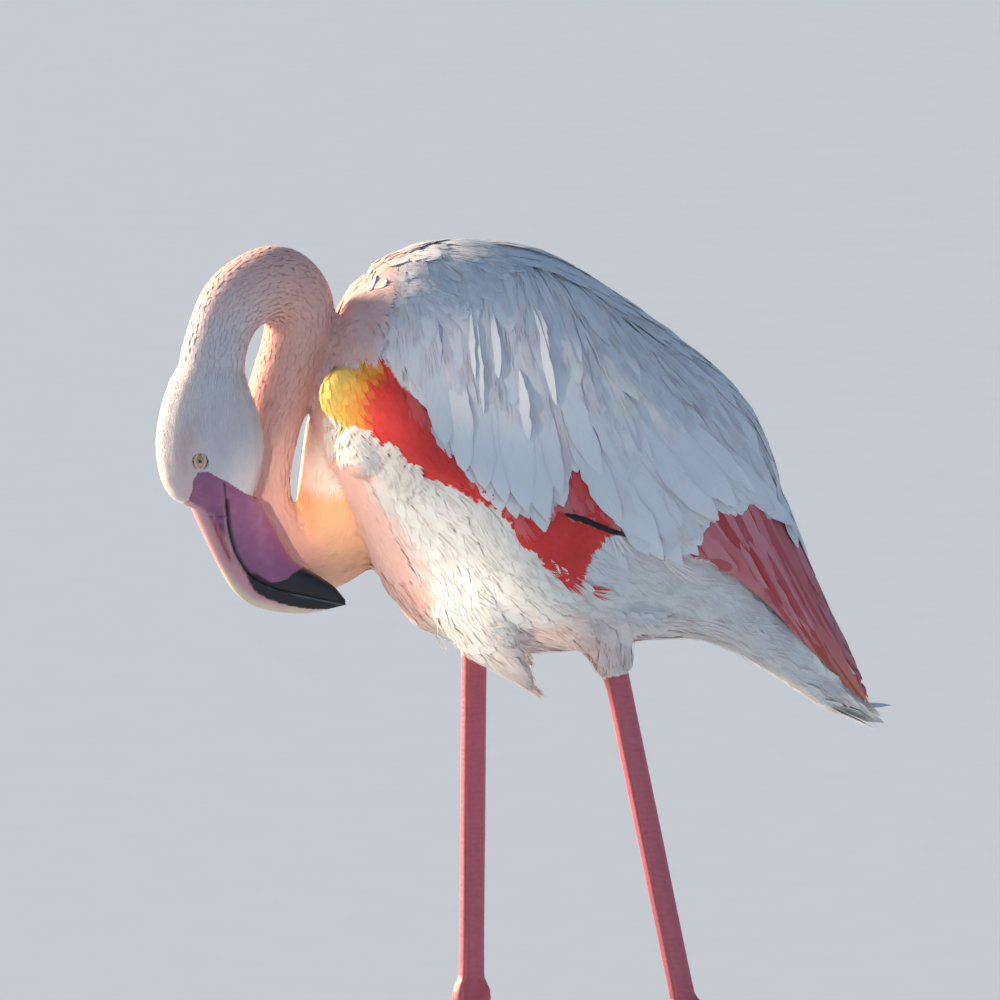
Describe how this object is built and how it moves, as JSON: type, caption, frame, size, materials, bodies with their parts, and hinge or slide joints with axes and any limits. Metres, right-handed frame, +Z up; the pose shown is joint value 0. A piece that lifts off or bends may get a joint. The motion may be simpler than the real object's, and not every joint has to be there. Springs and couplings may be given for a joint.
{
  "type": "greater flamingo",
  "caption": "Life-size standing wading bird with its long neck bent down to preen, folded wings and webbed feet, as a still model.",
  "frame": {"origin": "on the floor, under the middle of the bird's outline", "axes": "+Z up; the bird faces -X, its tail is towards +X and its left side towards -Y"},
  "size_m": [0.498, 0.1718, 0.8805],
  "materials": {
    "white_plumage": "matt cream-white feathers with a faint pink",
    "neck_plumage": "matt short feathers, pale peach-pink",
    "shoulder_plumage": "matt long feathers, white with a faint lilac-pink",
    "crimson_plumage": "matt feathers, crimson, orange at the wrist",
    "rose_plumage": "matt long feathers, rose to salmon",
    "bill_skin": "satin, mauve-pink with a black tip",
    "leg_skin": "finely scaled, rose-pink",
    "claw_horn": "dull dark horn",
    "eye": "glossy, pale yellow round a small dark pupil"
  },
  "bodies": {
    "root": {"trunk": "white_plumage", "thigh_left": "white_plumage", "thigh_right": "white_plumage", "neck_1": "neck_plumage", "neck_2": "neck_plumage", "neck_3": "neck_plumage", "neck_4": "neck_plumage", "head": "neck_plumage", "bill_upper": "bill_skin", "bill_lower": "bill_skin", "tail": "rose_plumage", "eye_left": "eye", "forewing_left": "crimson_plumage", "flight_left": "rose_plumage", "scapulars_left": "shoulder_plumage", "coverts_left": "crimson_plumage", "eye_right": "eye", "forewing_right": "crimson_plumage", "flight_right": "rose_plumage", "scapulars_right": "shoulder_plumage", "coverts_right": "crimson_plumage", "shank_left": "leg_skin", "ankle_left": "leg_skin", "tarsus_left": "leg_skin", "foot_left": "leg_skin", "claw_left_inner": "claw_horn", "claw_left_middle": "claw_horn", "claw_left_outer": "claw_horn", "shank_right": "leg_skin", "ankle_right": "leg_skin", "tarsus_right": "leg_skin", "foot_right": "leg_skin", "claw_right_inner": "claw_horn", "claw_right_middle": "claw_horn", "claw_right_outer": "claw_horn"}
  },
  "joints": []
}
